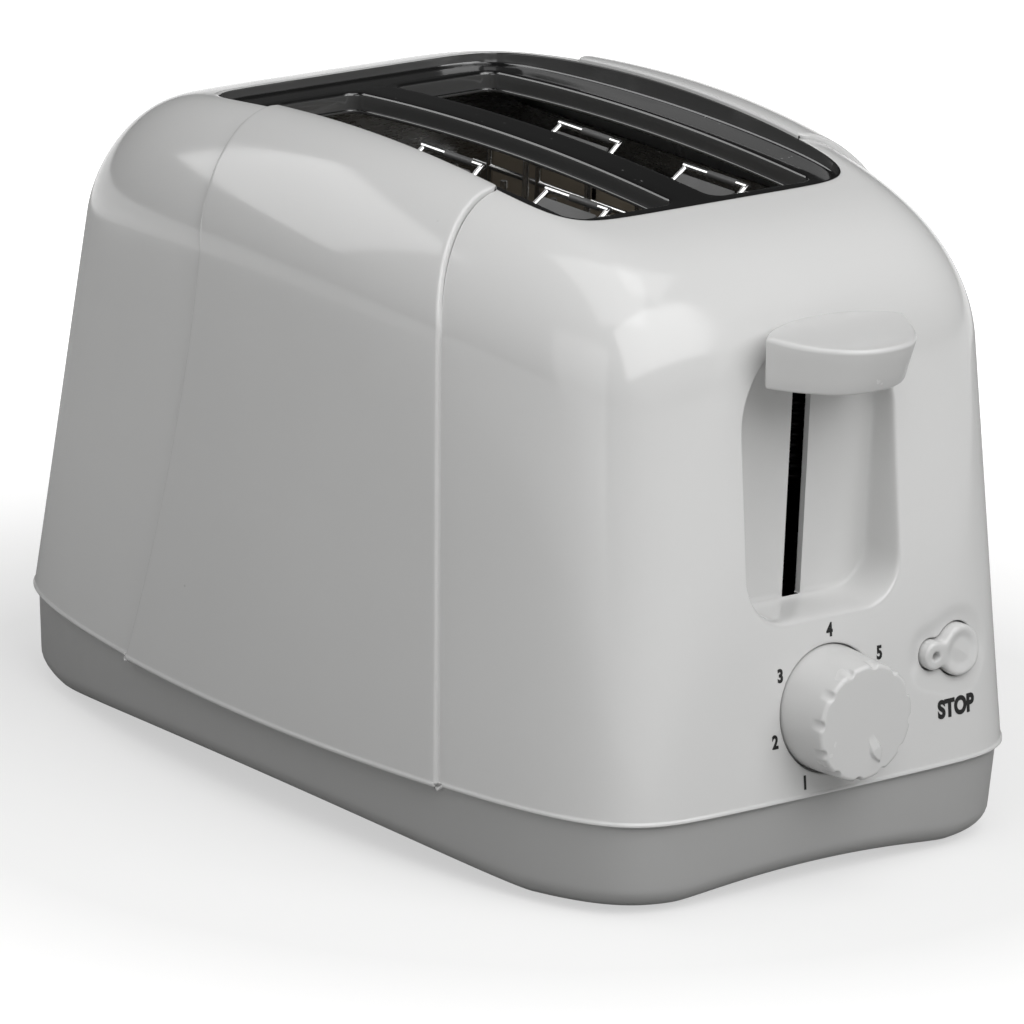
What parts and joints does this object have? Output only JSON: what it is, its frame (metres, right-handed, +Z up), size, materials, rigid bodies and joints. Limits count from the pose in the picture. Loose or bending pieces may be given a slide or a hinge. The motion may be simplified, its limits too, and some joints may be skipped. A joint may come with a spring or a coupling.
{
  "type": "pop up toaster",
  "caption": "Bread toaster with a bowed glossy shell, recessed black deck, long bread slots, sprung lever, browning dial and stop button.",
  "frame": {"origin": "on the table, under the middle of the toaster in length and width, knob and lever handle included", "axes": "+Z up, -Y towards the control end with the lever and dial, +X towards the stop button's side"},
  "size_m": [0.194, 0.2934, 0.187],
  "materials": {
    "shell_white": "moulded, polished",
    "panel_white": "moulded, polished",
    "control_white": "moulded, satin gloss",
    "base_grey": "moulded, semi-matt pale grey",
    "deck_black": "glossy black coating on steel",
    "foot_rubber": "matt",
    "zinc_steel": "zinc plated",
    "plated_steel": "plated sheet",
    "wire_steel": "bright wire",
    "mica": "mica sheet",
    "ribbon_alloy": "resistance ribbon",
    "dark_plastic": "moulded",
    "contact_brass": "stamped strip",
    "board_green": "laminate",
    "shaft_nylon": "nylon",
    "lamp_red": "tinted clear plastic"
  },
  "bodies": {
    "chassis": {"front_cap": "shell_white", "rear_cap": "shell_white", "left_side_panel": "panel_white", "right_side_panel": "panel_white", "base_skirt": "base_grey", "deck_plate": "deck_black", "rubber_feet": "foot_rubber", "base_screws": "zinc_steel", "front_bulkhead": "plated_steel", "rear_bulkhead": "plated_steel", "left_reflector": "plated_steel", "right_reflector": "plated_steel", "left_heater_board": "mica", "centre_heater_board": "mica", "right_heater_board": "mica", "heater_ribbons": "ribbon_alloy", "guide_rod": "wire_steel", "lift_spring": "wire_steel", "electromagnet": "zinc_steel", "contact_block": "dark_plastic", "circuit_board": "board_green", "potentiometer": "dark_plastic", "stop_switch": "dark_plastic", "indicator_led": "lamp_red", "cord_inlet": "foot_rubber", "terminal_block": "shaft_nylon"},
    "carriage": {"carriage_bracket": "plated_steel", "left_bread_rack": "plated_steel", "right_bread_rack": "plated_steel", "lever_handle": "control_white", "armature_plate": "zinc_steel", "moving_contact": "contact_brass"},
    "dial": {"browning_knob": "control_white", "dial_shaft": "shaft_nylon"},
    "stop": {"stop_button": "control_white"},
    "tray": {"crumb_tray": "plated_steel"},
    "guard_a": {"left_outer_guard": "wire_steel"},
    "guard_b": {"left_inner_guard": "wire_steel"},
    "guard_c": {"right_inner_guard": "wire_steel"},
    "guard_d": {"right_outer_guard": "wire_steel"}
  },
  "joints": [
    {"name": "lever_slide", "type": "slide", "parent": "chassis", "child": "carriage", "axis": [0, 0, 1], "range_m": [-0.06, 0], "stiffness_N_per_m": 40, "springref_m": 0.06, "deforming": ["lift_spring"]},
    {"name": "dial_turn", "type": "hinge", "parent": "chassis", "child": "dial", "pos_m": [0, -0.1335, 0.0496], "axis": [0, 1, 0], "range_deg": [-312, 0]},
    {"name": "stop_press", "type": "slide", "parent": "chassis", "child": "stop", "axis": [0, 1, 0], "range_m": [0, 0.0025], "stiffness_N_per_m": 300, "springref_m": -0.002},
    {"name": "tray_slide", "type": "slide", "parent": "chassis", "child": "tray", "axis": [0, 1, 0], "range_m": [0, 0.19]},
    {"name": "guard_a_tilt", "type": "hinge", "parent": "chassis", "child": "guard_a", "pos_m": [-0.04035, 0.0065, 0.032], "axis": [0, 1, 0], "range_deg": [0, 3]},
    {"name": "guard_b_tilt", "type": "hinge", "parent": "chassis", "child": "guard_b", "pos_m": [-0.00915, 0.0065, 0.032], "axis": [0, -1, 0], "range_deg": [0, 3]},
    {"name": "guard_c_tilt", "type": "hinge", "parent": "chassis", "child": "guard_c", "pos_m": [0.00915, 0.0065, 0.032], "axis": [0, 1, 0], "range_deg": [0, 3]},
    {"name": "guard_d_tilt", "type": "hinge", "parent": "chassis", "child": "guard_d", "pos_m": [0.04035, 0.0065, 0.032], "axis": [0, -1, 0], "range_deg": [0, 3]}
  ],
  "couplings": [
    {"joint": "guard_a_tilt", "follows": "lever_slide", "rad_per_m": -0.87},
    {"joint": "guard_b_tilt", "follows": "lever_slide", "rad_per_m": -0.87},
    {"joint": "guard_c_tilt", "follows": "lever_slide", "rad_per_m": -0.87},
    {"joint": "guard_d_tilt", "follows": "lever_slide", "rad_per_m": -0.87}
  ]
}
